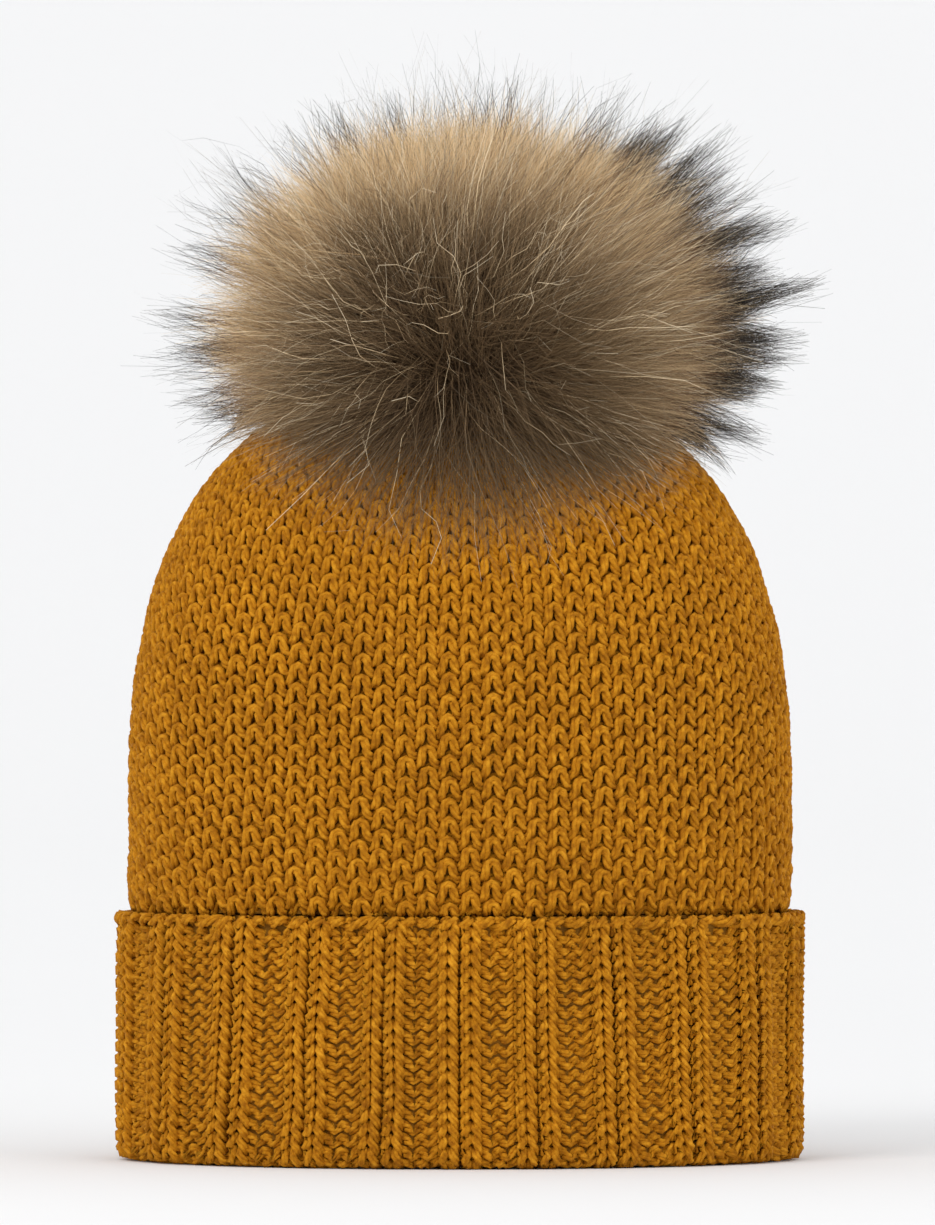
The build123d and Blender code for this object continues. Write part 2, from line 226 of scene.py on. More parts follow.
# Half a loop from its foot to its head: position across in wales, height and depth in half
# thicknesses. A knit stitch shows its legs; a purl stitch shows its foot and its head.
KNIT_LOOP = ((0.500, -0.95, -1.5), (0.260, -1.02, -0.90), (0.110, -0.72, 0.90), (0.240, -0.15, 1.60),
             (0.400, 0.42, 0.35), (0.000, 0.95, -1.6))
PURL_LOOP = ((0.500, -0.80, 1.5), (0.290, -0.68, 0.20), (0.200, -0.30, -1.10), (0.260, 0.30, -1.2),
             (0.340, 0.64, -0.05), (0.000, 0.86, 1.6))
# A moss stitch alternates a tall knit arch in front with a purl that hides between two arches.
ARCH_LOOP = ((0.500, -1.05, -0.85), (0.425, -1.12, 0.35), (0.300, -0.66, 0.75), (0.240, 0.02, 1.00),
             (0.190, 0.70, 1.10), (0.000, 1.00, 1.00))
BACK_LOOP = ((0.500, -1.05, -0.90), (0.380, -0.80, -1.15), (0.270, -0.35, -1.30), (0.200, 0.00, -1.30),
             (0.110, 0.25, -1.30), (0.000, 0.35, -1.30))


def whole_loop(half):
    """The ten points of a loop, foot to head and down the other side to just before the next foot."""
    half = np.array(half)
    left = half * (-1, 1, 1)
    return np.concatenate([left, half[-2:0:-1]])


def course(kinds, loops, height, half_depth):
    """One round of loops: wale position, distance along and height out, ten points a stitch."""
    table = np.array([whole_loop(loop) for loop in loops])[kinds]
    x = np.arange(len(kinds))[:, None] + 0.5 + table[:, :, 0]
    w = table[:, :, 2].copy()
    w[:, 0] = 0.5 * (w[:, 0] + np.roll(w[:, 0], 1))
    return x, table[:, :, 1] * height, w * half_depth


def smooth_closed(points, per_stitch):
    """Points of a closed smooth line through the loop points, per_stitch to a stitch."""
    count = len(points)
    at = np.arange(count // LOOP_POINTS * per_stitch) * LOOP_POINTS / per_stitch
    i = at.astype(int)
    f = (at - i)[:, None]
    a, b, c, d = (points[(i + k) % count] for k in (-1, 0, 1, 2))
    return 0.5 * (2 * b + (c - a) * f + (2 * a - 5 * b + 4 * c - d) * f**2 + (3 * b - a - 3 * c + d) * f**3)


def twist_yarn(path, normal, sides, yarn):
    """Rings of points round each ply of a closed yarn, ordered ply, side, along."""
    count = len(path)
    tangent = unit(np.roll(path, -1, 0) - np.roll(path, 1, 0))
    out = unit(normal - (normal * tangent).sum(1, keepdims=True) * tangent)
    across = np.cross(tangent, out)
    length = np.concatenate([[0], np.cumsum(np.linalg.norm(np.roll(path, -1, 0) - path, axis=1))])
    turns = max(1, round(length[-1] / TWIST_PITCH))
    phase = TAU * turns * length[:-1] / length[-1]
    rings = []
    for ply in range(PLIES):
        angle = TAU * ply / PLIES - phase
        radial = out * np.cos(angle)[:, None] + across * np.sin(angle)[:, None]
        centre = path + radial * (PLY_OFFSET * yarn)
        side = np.cross(tangent, radial)
        for k in range(sides):
            a = TAU * (k + 0.5) / sides
            rings.append(centre + (radial * math.cos(a) + side * math.sin(a)) * (PLY_RADIUS * yarn))
    return np.array(rings).reshape(PLIES, sides, count, 3)


def yarn_faces(sides, count, per_stitch):
    """Quads of the plies, and their UVs: along one stitch, and round each ply."""
    along = np.arange(count)
    ahead = (along + 1) % count
    u0 = (along % per_stitch) / per_stitch
    u1 = u0 + 1 / per_stitch
    quads, uvs = [], []
    for ply in range(PLIES):
        for k in range(sides):
            a, b = (ply * sides + k) * count, (ply * sides + (k + 1) % sides) * count
            quads.append(np.stack([a + along, b + along, b + ahead, a + ahead], axis=1))
            v0, v1 = (np.full(count, (k + step + ply / PLIES) / sides / PLY_PATTERN) for step in (0, 1))
            uvs.append(np.stack([u0, v0, u0, v1, u1, v1, u1, v0], axis=1).reshape(count, 4, 2))
    return np.concatenate(quads), np.concatenate(uvs)


def knit(name, outline, rounds, material, yarn, lean=0.0, per_stitch=12, sides=4):
    """Knits rounds into mesh pieces; a round is the share round, distance along and height out of its points."""
    pieces, points, quads, uvs, size, held = [], [], [], [], 0, 0

    def close():
        nonlocal points, quads, uvs, size, held
        if points:
            thing = make_mesh(f"{name}_{len(pieces):02d}", np.concatenate(points), np.concatenate(quads),
                              np.concatenate(uvs))
            thing.data.materials.append(material)
            pieces.append(thing)
        points, quads, uvs, size, held = [], [], [], 0, 0

    for shape in rounds:
        path, normal = on_fabric(outline, *(np.ravel(part) for part in shape), lean)
        path = smooth_closed(path, per_stitch)
        path[:, 2] = np.maximum(path[:, 2], 0.2 * yarn)
        normal = unit(smooth_closed(normal, per_stitch))
        rings = twist_yarn(path, normal, sides, yarn)
        rings[..., 2] = np.maximum(rings[..., 2], 0.05 * MM)  # the hem lies flat on what it stands on
        faces, corners = yarn_faces(sides, len(path), per_stitch)
        if held + len(faces) > MAX_QUADS:
            close()
        points.append(rings.reshape(-1, 3))
        quads.append(faces + size)
        uvs.append(corners)
        size += len(points[-1])
        held += len(faces)
    close()
    return pieces


def wobble(count, rows, size, seed):
    """A smooth random field over the stitches, the same each time."""
    field = np.random.default_rng(seed).normal(size=(rows, count))
    for _ in range(3):
        field = (field + np.roll(field, 1, 1) + np.roll(field, -1, 1)) / 3
        field = (field + np.roll(field, 1, 0) + np.roll(field, -1, 0)) / 3
    return size * field / field.std()


# ---- Materials ---------------------------------------------------------------------------
class Nodes:
    """A small helper that adds and links shader nodes."""

    def __init__(self, name):
        self.material = bpy.data.materials.new(name)
        self.material.use_nodes = True
        self.tree = self.material.node_tree
        self.shader = self.tree.nodes["Principled BSDF"]

    def add(self, kind, inputs=None, **settings):
        node = self.tree.nodes.new(kind)
        for key, value in settings.items():
            setattr(node, key, value)
        for key, value in (inputs or {}).items():
            self.set(node, key, value)
        return node

    def set(self, node, key, value):
        if isinstance(value, bpy.types.NodeSocket):
            self.tree.links.new(value, node.inputs[key])
        else:
            node.inputs[key].default_value = value

    def ramp(self, factor, stops):
        node = self.add("ShaderNodeValToRGB", {"Fac": factor})
        elements = node.color_ramp.elements
        while len(elements) < len(stops):
            elements.new(0.5)
        for element, (place, colour) in zip(elements, stops):
            element.position = place
            element.color = (*colour, 1)
        return node.outputs["Color"]

    def mix(self, factor, a, b, blend="MIX"):
        node = self.add("ShaderNodeMix", data_type="RGBA", blend_type=blend)
        self.set(node, 0, factor)
        self.set(node, 6, a)
        self.set(node, 7, b)
        return node.outputs[2]


def yarn_material(name, dark, middle, light):
    """Plied wool: fibre streaks along each ply, partly painted highlights, soft mottling, a fuzzy sheen."""
    n = Nodes(name)
    uv = n.add("ShaderNodeUVMap", uv_map="OFBake").outputs["UV"]
    place = n.add("ShaderNodeTexCoord").outputs["Object"]
    mottle = n.add("ShaderNodeTexNoise", {"Vector": place, "Scale": 420.0, "Detail": 3.0})
    patch = n.add("ShaderNodeTexNoise", {"Vector": place, "Scale": 22.0, "Detail": 2.0})
    streak_map = n.add("ShaderNodeMapping", {"Vector": uv, "Scale": (14.0, 90.0, 1.0)})
    streak = n.add("ShaderNodeTexNoise", {"Vector": streak_map.outputs["Vector"], "Scale": 1.0, "Detail": 4.0})
    colour = n.ramp(mottle.outputs["Fac"], [(0.28, dark), (0.5, middle), (0.74, light)])
    tint = n.ramp(patch.outputs["Fac"], [(0.3, (0.86, 0.84, 0.82)), (0.7, (1.0, 1.0, 1.0))])
    colour = n.mix(1.0, colour, tint, "MULTIPLY")
    # the fibre streaks are real tone; their bright end, above the yarn's own colour, is painted highlight
    fibre = n.ramp(streak.outputs["Fac"], [(0.3, (0.70, 0.68, 0.64)), (0.66, (1.28, 1.28, 1.30))])
    colour = n.mix(0.8, colour, fibre, "MULTIPLY")
    bump = n.add("ShaderNodeBump", {"Height": streak.outputs["Fac"], "Strength": 0.5, "Distance": 0.0004})
    n.set(n.shader, "Base Color", colour)
    n.set(n.shader, "Normal", bump.outputs["Normal"])
    n.set(n.shader, "Roughness", 0.78)
    n.set(n.shader, "Sheen Weight", 0.12)
    n.set(n.shader, "Sheen Roughness", 0.45)
    n.set(n.shader, "Sheen Tint", (*light, 1))
    n.set(n.shader, "Specular IOR Level", 0.12)
    return n.material


mustard = yarn_material("mustard_yarn", (0.300, 0.104, 0.0025), (0.498, 0.197, 0.0058), (0.715, 0.320, 0.0165))

# ---- Rib cuff and inner band -------------------------------------------------------------
RIB_REPEATS = 22
RIB_WALES = 4 * RIB_REPEATS
RIB_ROW = 4.06 * MM
RIB_LOOP = 3.75 * MM
RIB_YARN = 2.95 * MM
RIB_RELIEF_OUT, RIB_RELIEF_IN = 0.5 * MM, 1.25 * MM
RIB_SQUEEZE = 0.14  # of a stitch, by which the knit pairs draw together
RIB_LEAN = 0.07  # how far the ribs lean from straight
HEM_FLATTENED = 14 * MM  # distance from the fold over which the relief grows to full
EDGE_DIP = 0.9 * MM  # the purl channels draw the bound-off edge down
RIB_DEPTH = (WALL - RIB_YARN) / 2
RIB_KINDS = np.array([KNIT, KNIT, PURL, PURL] * RIB_REPEATS)

rib = Outline(*rib_outline(), outward=-1)
RIB_ROWS = int(rib.length / RIB_ROW)
RIB_TURN = CUFF_TOP - HEM_Z + math.pi * HEM_TURN / 2  # distance to the lowest line of the fold


def rib_rounds(first, last):
    """Rows of the 2x2 rib, whose knit pairs stand out and whose purl channels sink in."""
    side_noise = wobble(RIB_WALES, RIB_ROWS + 1, 0.03, 1)
    row_noise = wobble(RIB_WALES, RIB_ROWS + 1, 0.18 * MM, 2)
    lift_noise = wobble(RIB_WALES, RIB_ROWS + 1, 0.15 * MM, 3)
    for row in range(first, last):
        x, y, w = course(RIB_KINDS, (KNIT_LOOP, PURL_LOOP), RIB_LOOP, RIB_DEPTH)
        x = x + side_noise[row][:, None]
        phase = TAU * (x - 1) / 4
        s = (row + 0.5) * RIB_ROW + y + row_noise[row][:, None]
        relief = np.clip(np.abs(s - RIB_TURN) / HEM_FLATTENED, 0.3, 1.0)
        raised = np.clip(1.5 * np.cos(phase), -1, 1)
        w = w + relief * np.where(raised > 0, RIB_RELIEF_OUT, RIB_RELIEF_IN) * raised + lift_noise[row][:, None]
        x = x + RIB_SQUEEZE * np.sin(phase)
        s = s + EDGE_DIP * np.clip(1 - row / 3, 0, 1) * (raised < 0)
        yield (x - 1) / RIB_WALES, s, w


hem_row = int((CUFF_TOP - HEM_Z + math.pi * HEM_TURN) / RIB_ROW)
cuff_pieces = knit("cuff_knitting", rib, rib_rounds(0, hem_row), mustard, RIB_YARN, lean=RIB_LEAN)
edge = np.arange(RIB_WALES * LOOP_POINTS) / LOOP_POINTS
edge_dip = 0.5 * MM * (1 - np.cos(TAU * (edge - 1) / 4)) + 0.5 * MM * np.sin(TAU * edge / 7.3)
edge_rounds = [(edge / RIB_WALES, edge_dip - 0.3 * MM + 1.45 * MM * np.cos(math.pi * edge + start),
                0.5 * MM + 1.5 * MM * np.sin(math.pi * edge + start)) for start in (0, math.pi)]
cuff_pieces += knit("bound_off_edge", rib, edge_rounds, mustard, RIB_YARN, lean=RIB_LEAN)
band_pieces = knit("band_knitting", rib, rib_rounds(hem_row, RIB_ROWS), mustard, RIB_YARN, lean=RIB_LEAN,
                   per_stitch=8, sides=3)

# ---- Moss-stitch crown -------------------------------------------------------------------
MOSS_WALES = 76
MOSS_ROW = 3.2 * MM
MOSS_LOOP = 2.55 * MM
MOSS_YARN = 3.35 * MM
MOSS_DEPTH = 1.35 * MM
UNEVEN_ROWS = 16
DECREASES = ((66, MOSS_WALES), (48, 56), (34, 40), (22, 28), (12, 18), (0, 10))  # least half-width, stitches
moss = Outline(*crown_outline(WALL / 2, crown_low[2]), outward=1)
MOSS_ROWS = int(moss.length / MOSS_ROW)


def moss_rounds(first, last):
    """Rows of moss stitch, with fewer stitches as the crown narrows."""
    side_noise = wobble(MOSS_WALES, MOSS_ROWS, 0.035, 4)
    row_noise = wobble(MOSS_WALES, MOSS_ROWS, 0.22 * MM, 5)
    lift_noise = wobble(MOSS_WALES, MOSS_ROWS, 0.2 * MM, 6)
    for row in range(first, last):
        radius = np.interp((row + 0.5) * MOSS_ROW, moss.s, moss.r)
        wales = next(count for least, count in DECREASES if radius >= least * MM)
        kinds = (np.arange(wales) + row) % 2
        x, y, w = course(kinds, (ARCH_LOOP, BACK_LOOP), MOSS_LOOP, MOSS_DEPTH)
        x = x + side_noise[row][:wales, None]
        # low down, the purls show between the arches and the stitches are less even
        low = np.clip(1 - row / UNEVEN_ROWS, 0, 1)
        w = w + lift_noise[row][:wales, None] + low * 0.9 * MM * (kinds == PURL)[:, None]
        x = x + low * 0.8 * side_noise[row][:wales, None]
        s = (row + 0.5) * MOSS_ROW + y + (1 + low) * row_noise[row][:wales, None]
        yield (x - 1) / wales, s, w


NOD_START_Z, NOD_END_Z, SWAY_END_Z = 165 * MM, 225 * MM, 245.5 * MM  # heights on the crown; the tip's knitting starts at NOD_END_Z
tip_s = float(np.interp(NOD_END_Z, moss.z, moss.s))
tip_row = int(tip_s / MOSS_ROW)
crown_pieces = knit("crown_knitting", moss, moss_rounds(0, tip_row), mustard, MOSS_YARN)
tip_pieces = knit("crown_tip_knitting", moss, moss_rounds(tip_row, MOSS_ROWS), mustard, MOSS_YARN)


# ---- Dark middle of the knitting: painted shade that closes the holes between the loops ---
def shade_core_tube(name, outline, first, last, depth, material, around_count=240, along_count=60):
    """A closed tube of painted shade inside the loops, from one distance along the outline to another."""
    share = np.linspace(0, 1, around_count, endpoint=False)
    s = np.linspace(first, last, along_count)
    shares, ss = np.meshgrid(share, s)
    points, _ = on_fabric(outline, shares.ravel(), ss.ravel(), np.full(shares.size, depth))
    quads, i, j = ring_grid(around_count, along_count)
    uvs = np.stack([i, j, i + 1, j, i + 1, j + 1, i, j + 1], axis=1).reshape(-1, 4, 2) / (around_count, along_count)
    thing = make_mesh(name, points, quads, uvs)
    thing.data.materials.append(material)
    return thing


# painted shade: a darker mustard for the tube seen through the gaps between the loops
painted_shade_yarn = yarn_material("mustard_core_painted_shade", (0.150, 0.060, 0.004), (0.200, 0.085, 0.006), (0.260, 0.120, 0.012))
cuff_pieces.append(shade_core_tube("cuff_core", rib, 0.0, RIB_TURN, -0.7 * MM, painted_shade_yarn))
band_pieces.append(shade_core_tube("band_core", rib, RIB_TURN, rib.length, 0.0, painted_shade_yarn))
crown_pieces.append(shade_core_tube("crown_core", moss, 0.0, tip_s, -0.9 * MM, painted_shade_yarn))
tip_pieces.append(shade_core_tube("crown_tip_core", moss, tip_s, moss.length, -0.9 * MM, painted_shade_yarn))


# ---- Riding and replacing ----------------------------------------------------------------
def join(pieces, node, body=None):
    """Pieces that stand for a node, riding on a body or, without one, with their transform baked into the mesh."""
    for piece in pieces:
        if body:
            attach(piece, body)
        else:
            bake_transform(piece)
        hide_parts(node)


join(cuff_pieces, "turn_up_cuff", body="hat")
join(band_pieces, "inner_rib_band", body="hat")
join(crown_pieces, "crown_knit")
join(tip_pieces, "crown_knit")

# ---- Fur ---------------------------------------------------------------------------------
FUR_CENTRE = np.array([2.0, 0, 267]) * MM
FUR_SIDE, FUR_DEEP, FUR_UP, FUR_DOWN = 85 * MM, 82 * MM, 66 * MM, 58 * MM
FUR_MAT = 0.42  # of the reach, where the hair comes out of the matted underfur
FUR_POWER = 2.3
WHORLS = unit(np.array([[-0.12, -0.97, -0.16], [0.04, -0.76, -0.65]]))  # the hair lies away from these
FACE = unit(WHORLS.sum(0))
CROWN_SKIN = 3.0 * MM  # the hair stays this far out of the crown's outline


def fur_reach(directions):
    """How far the fur's outline is from its middle."""
    side = np.hypot(directions[..., 0] / FUR_SIDE, directions[..., 1] / FUR_DEEP)
    up = np.abs(directions[..., 2]) / np.where(directions[..., 2] > 0, FUR_UP, FUR_DOWN)
    return (side**FUR_POWER + up**FUR_POWER) ** (-1 / FUR_POWER)


def off_the_crown(points, clear):
    """Moves points that would be inside the crown sideways to its surface."""
    rise = np.clip((points[..., 2] - CROWN_FULL_Z) / (CROWN_TOP_Z - CROWN_FULL_Z + clear), 0, 1)
    half_width = (CROWN_HALF_WIDTH + clear) * (1 - rise**CROWN_RISE_POWER) ** (1 / CROWN_SIDE_POWER)
    r = np.hypot(points[..., 0], points[..., 1] / DEPTH_RATIO)
    grow = np.maximum(1.0, half_width / np.maximum(r, 1e-6))
    return points * np.stack([grow, grow, np.ones_like(grow)], axis=-1)


def swirl(directions, seed=77, sizes=(3, 5, 8, 12)):
    """A smooth random field over directions, the same for neighbouring hairs."""
    chance = np.random.default_rng(seed)
    total = np.zeros_like(directions)
    for size in sizes:
        wave = chance.normal(size=(3, 3)) * size
        total += np.sin(directions @ wave + chance.uniform(0, TAU, 3)) / size**0.35
    return total


def even_directions(count, seed):
    """Directions spread evenly over a ball, each shifted a little."""
    i = np.arange(count) + 0.5
    turn, up = i * math.pi * (3 - math.sqrt(5)), 1 - 2 * i / count
    flat = np.sqrt(1 - up**2)
    ways = np.stack([flat * np.cos(turn), flat * np.sin(turn), up], axis=-1)
    return unit(ways + np.random.default_rng(seed).normal(size=ways.shape) * 0.6 / math.sqrt(count))


def lay_hair(count, seed, reach, bend, clumps, clumping, segments, spread=1.0, curl=1.1 * MM, swirls=0.18,
             near=None):
    """Centre lines of hairs from the mat to their tips, with the angle and way of each tip."""
    chance = np.random.default_rng(seed)
    start = unit(chance.normal(size=(count, 3)))
    if near is not None:
        start = unit(start * 0.42 + near)
    start = start[start[:, 2] > -0.80 + 0.2 * np.abs(start[:, 0])]
    apart = start[:, None] - WHORLS
    gap = np.linalg.norm(apart, axis=2)
    away = (apart / gap[..., None] ** 2.5).sum(1)
    away = unit(away - (away * start).sum(1, keepdims=True) * start)
    angle = np.degrees(2 * np.arcsin(np.clip(gap.min(1) / 2, 0, 1)))
    lean = np.radians(bend[0] + bend[1] * np.exp(-((angle - 30) / 45) ** 2)) * chance.uniform(0.7, 1.3, len(start))
    messy = 0.09 * spread + 0.30 * np.exp(-(angle / 20) ** 2)
    tip_way = unit(np.cos(lean)[:, None] * start + np.sin(lean)[:, None] * away + swirls * swirl(start)
                   + chance.normal(size=start.shape) * messy[:, None])
    clump = np.zeros(len(start), int)
    if clumps:
        heads = even_directions(clumps, seed)
        clump = np.concatenate([np.argmax(part @ heads.T, axis=1) for part in np.array_split(tip_way, 40)])
        tip_way = unit(tip_way * (1 - clumping) + heads[clump] * clumping)
    lowest = -0.46 - 0.16 * np.clip(tip_way[:, 0], 0, 1) - 0.36 * np.clip(-tip_way[:, 1], 0, 1)
    keep = tip_way[:, 2] > lowest + chance.normal(size=len(start)) * 0.04
    start, tip_way, clump = start[keep], tip_way[keep], clump[keep]
    length = chance.uniform(*reach, len(start)) * chance.uniform(0.92, 1.08, max(clumps, 1))[clump]
    length = length * (1 + 0.03 * tip_way[:, 0])
    root = FUR_CENTRE + start * (fur_reach(start) * (FUR_MAT - 0.02))[:, None]
    middle = FUR_CENTRE + start * (fur_reach(start) * chance.uniform(0.55, 0.72, len(start)))[:, None]
    tip = FUR_CENTRE + tip_way * (fur_reach(tip_way) * length)[:, None]
    low = np.clip(-1.6 * tip_way[:, 2], 0, 1)
    fringe = np.clip(-tip_way[:, 1], 0, 1) ** 2 * 58 * MM - np.abs(tip_way[:, 0]) * 8 * MM
    tip[:, 2] -= 2 * MM * np.hypot(tip_way[:, 0], tip_way[:, 1]) ** 2 * length + low * fringe
    t = np.linspace(0, 1, segments + 1)[None, :, None]
    line = (1 - t) ** 2 * root[:, None] + 2 * t * (1 - t) * middle[:, None] + t**2 * tip[:, None]
    for turns, size in ((1.1, 1.7), (2.3, 0.9), (4.2, 0.35)):
        turn = chance.uniform(0.7, 1.3, (len(start), 1, 1)) * turns * TAU
        wave = np.sin(turn * t + chance.uniform(0, TAU, (len(start), 1, 1))) * t
        line = line + chance.normal(size=(len(start), 1, 3)) * size * curl * wave
    clear = CROWN_SKIN + chance.uniform(0, 5 * MM, (len(start), 1))
    tip_angle = np.degrees(np.arccos(np.clip(tip_way @ FACE, -1, 1)))
    return off_the_crown(line, clear), tip_angle, tip_way, clump, chance


def out_share(line):
    """How far out each point of the hairs is, 0 at the mat and about 0.65 at the fur's outline."""
    out = line - FUR_CENTRE
    size = np.linalg.norm(out, axis=2)
    return np.clip((size / fur_reach(out / size[..., None]) - FUR_MAT) / 0.9, 0, 1)


def ribbons(name, line, width, tones, material, chance, along=None, tip_share=0.1):
    """Flat tapering ribbons along the hairs; u of the UV map is the tone and v runs to the tip."""
    count, rings, _ = line.shape
    t = np.linspace(0, 1, rings)
    along = np.broadcast_to(t, (count, rings)) if along is None else along
    tangent = np.gradient(line, axis=1)
    outward = line - FUR_CENTRE
    side = unit(np.cross(tangent, outward) + 0.36 * np.linalg.norm(tangent, axis=2, keepdims=True)
                * np.linalg.norm(outward, axis=2, keepdims=True) * chance.normal(size=(count, 1, 3)))
    half = 0.5 * width[:, None] * (1 - (1 - tip_share) * t**2.2)[None, :]
    points = np.stack([line - side * half[..., None], line + side * half[..., None]], axis=2)
    pieces = []
    per_piece = MAX_QUADS // (rings - 1)
    for number, first in enumerate(range(0, count, per_piece)):
        part = points[first:first + per_piece]
        n = len(part)
        base = (np.arange(n) * rings * 2)[:, None] + np.arange(rings - 1) * 2
        quads = np.stack([base, base + 1, base + 3, base + 2], axis=2).reshape(-1, 4)
        u = np.repeat(tones[first:first + per_piece][:, None], rings - 1, axis=1)
        v0, v1 = along[first:first + per_piece, :-1], along[first:first + per_piece, 1:]
        uvs = np.stack([u, v0, u + 0.004, v0, u + 0.004, v1, u, v1], axis=2).reshape(-1, 4, 2)
        thing = make_mesh(f"{name}_{number:02d}", part.reshape(-1, 3), quads, uvs)
        thing.data.materials.append(material)
        pieces.append(thing)
    return pieces


def fur_material(name, low, high):
    """Hair whose colour runs from root to tip; low and high are the ramps of tone 0 and tone 1."""
    n = Nodes(name)
    uv = n.add("ShaderNodeUVMap", uv_map="OFBake").outputs["UV"]
    parts = n.add("ShaderNodeSeparateXYZ", {"Vector": uv}).outputs
    colour = n.mix(parts["X"], n.ramp(parts["Y"], low), n.ramp(parts["Y"], high))
    n.set(n.shader, "Base Color", colour)
    n.set(n.shader, "Roughness", 0.55)
    n.set(n.shader, "Specular IOR Level", 0.16)
    return n.material


underfur = fur_material(
    "underfur",
    [(0.0, (0.025, 0.014, 0.007)), (0.5, (0.060, 0.034, 0.016)), (0.8, (0.110, 0.066, 0.031)),
     (1.0, (0.180, 0.112, 0.054))],
    [(0.0, (0.070, 0.043, 0.022)), (0.36, (0.220, 0.140, 0.072)), (0.66, (0.540, 0.352, 0.172)),
     (1.0, (0.870, 0.640, 0.365))])
guard_hair = fur_material(
    "guard_hair",
    [(0.0, (0.080, 0.050, 0.030)), (0.30, (0.260, 0.170, 0.092)), (0.54, (0.380, 0.250, 0.135)),
     (0.61, (0.110, 0.055, 0.028)), (0.67, (0.006, 0.005, 0.006))],
    [(0.0, (0.080, 0.053, 0.030)), (0.50, (0.330, 0.225, 0.118)), (0.75, (0.820, 0.620, 0.370)),
     (1.0, (0.900, 0.760, 0.540))])

# the dense underfur: dark round the whorls, tan towards the outline
UNDERFUR_CLUMPS = 3000
line, angle, way, clump, chance = lay_hair(92000, 31, (0.66, 1.04), (12, 26), UNDERFUR_CLUMPS, 0.45, 8, spread=1.6,
                                           curl=1.5 * MM)
streak = 0.21 * swirl(way, 5, (9, 16, 26, 40))[:, 0] + 0.16 * chance.normal(size=UNDERFUR_CLUMPS)[clump]
tone = np.clip((angle - 60) / 24 + streak + chance.normal(size=len(angle)) * 0.14, 0.02, 0.99)
fur_pieces = ribbons("underfur", line, chance.uniform(0.18, 0.36, len(line)) * MM, tone, underfur, chance)

# the fringe that hangs over the front of the crown
line, angle, way, clump, chance = lay_hair(16000, 36, (0.72, 1.06), (10, 20), 900, 0.5, 8, spread=1.4, curl=1.6 * MM,
                                           near=unit(np.array([0.0, -0.72, -0.62])))
tone = np.clip((angle - 46) / 40 + chance.normal(size=len(angle)) * 0.16, 0.02, 0.8)
fur_pieces += ribbons("fringe_hair", line, chance.uniform(0.18, 0.34, len(line)) * MM, tone, underfur, chance)

# pale guard hair over it, and a few thick cream hairs that wave
line, angle, way, clump, chance = lay_hair(8000, 32, (0.84, 1.10), (12, 28), 700, 0.6, 10, spread=2.0, curl=1.8 * MM)
tone = np.clip(0.62 + chance.normal(size=len(angle)) * 0.25, 0.15, 0.99)
guard_pieces = ribbons("pale_guard_hair", line, chance.uniform(0.13, 0.24, len(line)) * MM, tone, guard_hair, chance,
                       tip_share=0.3)
line, angle, way, clump, chance = lay_hair(4200, 34, (0.78, 1.05), (12, 30), 280, 0.84, 12, spread=2.2, curl=2.0 * MM)
guard_pieces += ribbons("cream_guard_hair", line, chance.uniform(0.22, 0.42, len(line)) * MM,
                        chance.uniform(0.7, 0.99, len(line)), guard_hair, chance, tip_share=0.3)

# black-tipped guard hair: brushes on one side, thinner groups on the other and behind, wisps on top
BRUSHES = 430
line, angle, way, clump, chance = lay_hair(72000, 33, (1.00, 1.23), (12, 20), BRUSHES, 0.83, 9, curl=1.4 * MM)
full = chance.uniform(0.0, 1.0, BRUSHES)[clump]
ring = np.clip(4 * way[:, 1] + 1.6, 0, 1) * np.clip(2.2 - 3 * way[:, 1], 0, 1)
right = ring * np.clip(2.2 * way[:, 0] - 0.5, 0, 1) * np.clip(1.5 - 1.6 * way[:, 2], 0.15, 1)
left = ring * np.clip(-2.0 * way[:, 0] - 0.6, 0, 1) * np.clip(1.5 - 1.2 * way[:, 2], 0.1, 1)
left = left * np.clip(2.4 * full - 1.2, 0.03, 1)
behind = 0.4 * np.clip(way[:, 1], 0, 1) * np.clip(2.2 * full - 1.1, 0.03, 1)
share = np.clip(right * np.clip(3.4 * full, 0.1, 1) + 0.6 * left + behind + 0.025, 0, 1)
keep = (angle > 66) & (chance.uniform(size=len(angle)) < share)
line, way = line[keep], way[keep]
along = np.clip(out_share(line) + chance.normal(size=(len(line), 1)) * 0.035, 0, 1)
guard_pieces += ribbons("black_tipped_hair", line, chance.uniform(0.20, 0.37, len(line)) * MM,
                        np.clip(np.abs(chance.normal(size=len(line))) * 0.05, 0, 0.99), guard_hair, chance,
                        along=along, tip_share=0.25)
line, angle, way, clump, chance = lay_hair(2600, 35, (1.08, 1.33), (8, 14), 130, 0.6, 10, spread=1.8, curl=2.4 * MM)
keep = way[:, 2] > 0.35
line = line[keep]
along = np.clip(out_share(line) + chance.normal(size=(len(line), 1)) * 0.05, 0, 1)
guard_pieces += ribbons("top_wisps", line, chance.uniform(0.10, 0.20, len(line)) * MM,
                        np.clip(np.abs(chance.normal(size=len(line))) * 0.2, 0, 0.99), guard_hair, chance,
                        along=along, tip_share=0.3)


def underfur_mat(around_count=72, up_count=36):
    """The matted base of the underfur, open underneath round the snap."""
    turn = np.linspace(0, TAU, around_count, endpoint=False)
    up = np.linspace(-0.75, math.pi / 2 - 0.02, up_count)
    turns, ups = np.meshgrid(turn, up)
    ways = np.stack([np.cos(ups) * np.sin(turns), -np.cos(ups) * np.cos(turns), np.sin(ups)], axis=-1).reshape(-1, 3)
    points = FUR_CENTRE + ways * (fur_reach(ways) * FUR_MAT)[:, None]
    points = off_the_crown(points, 2.5 * MM)
    quads, _, _ = ring_grid(around_count, up_count)
    uvs = np.tile([(0.1, 0.1), (0.2, 0.1), (0.2, 0.2), (0.1, 0.2)], (len(quads), 1, 1))
    thing = make_mesh("underfur_mat", points, quads, uvs)
    thing.data.materials.append(underfur)
    return thing


fur_pieces.append(underfur_mat())
join(fur_pieces, "pom_underfur", body="pom")
join(guard_pieces, "pom_guard_hair", body="pom")

